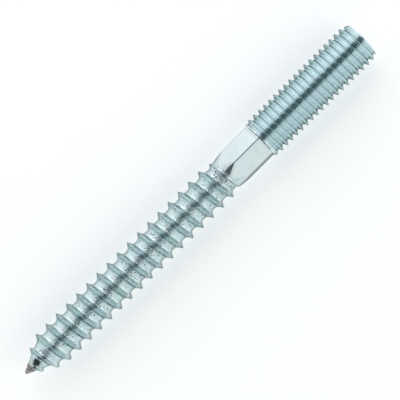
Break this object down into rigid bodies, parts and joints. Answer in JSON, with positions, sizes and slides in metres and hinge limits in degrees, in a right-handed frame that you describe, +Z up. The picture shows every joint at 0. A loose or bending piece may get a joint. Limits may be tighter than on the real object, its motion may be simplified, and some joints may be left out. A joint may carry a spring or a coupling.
{
  "type": "hanger bolt",
  "caption": "Double-ended steel bolt: coarse wood screw with a gimlet point, hexagonal drive section in the middle and a chamfered machine-threaded stud.",
  "frame": {"origin": "on the surface the bolt lies on, under its axis, halfway between the point and the machine end", "axes": "+X along the bolt from the point to the machine end, +Z up"},
  "size_m": [0.1, 0.0098, 0.0098],
  "materials": {
    "zinc_plate": "bright zinc plating with a bluish clear passivate over rolled steel"
  },
  "bodies": {
    "root": {"hanger_bolt": "zinc_plate"}
  },
  "joints": []
}
